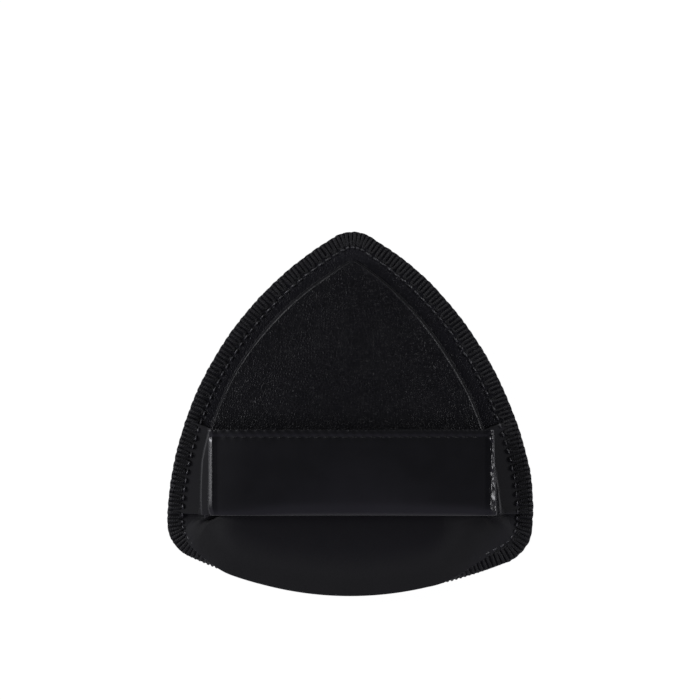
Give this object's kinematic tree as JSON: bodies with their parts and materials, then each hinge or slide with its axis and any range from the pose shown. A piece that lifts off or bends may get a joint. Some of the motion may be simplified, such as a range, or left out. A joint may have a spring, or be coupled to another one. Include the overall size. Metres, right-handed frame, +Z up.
{
  "type": "powder puff",
  "caption": "Rounded triangular powder puff: velour face, foam core and leathercloth back with an overlocked edge, and a finger strap that flexes across its back.",
  "frame": {"origin": "under the middle of the bounding box, on the surface that the puff lies on", "axes": "+Z up out of the strap side, +Y towards the puff's point, +X to the right seen from the strap side"},
  "size_m": [0.07, 0.0698, 0.0167],
  "materials": {
    "velour": "short dense pile, matt black",
    "foam": "open-cell black foam, sealed inside",
    "leathercloth": "fine pebbled grain, satin black",
    "satin": "smooth coated satin, black",
    "thread": "textured polyester thread, black"
  },
  "bodies": {
    "puff": {"velour_face": "velour", "foam_core": "foam", "back_cover": "leathercloth", "overlock_upper_looper": "thread", "overlock_lower_looper": "thread", "overlock_needle_thread": "thread", "strap_left_tail": "satin", "strap_right_tail": "satin"},
    "strap": {"finger_strap": "satin", "strap_hem_thread": "thread"}
  },
  "joints": [
    {"name": "strap_flex", "type": "slide", "parent": "puff", "child": "strap", "axis": [0, 0, 1], "range_m": [-0.0041, 0.004], "stiffness_N_per_m": 30}
  ]
}
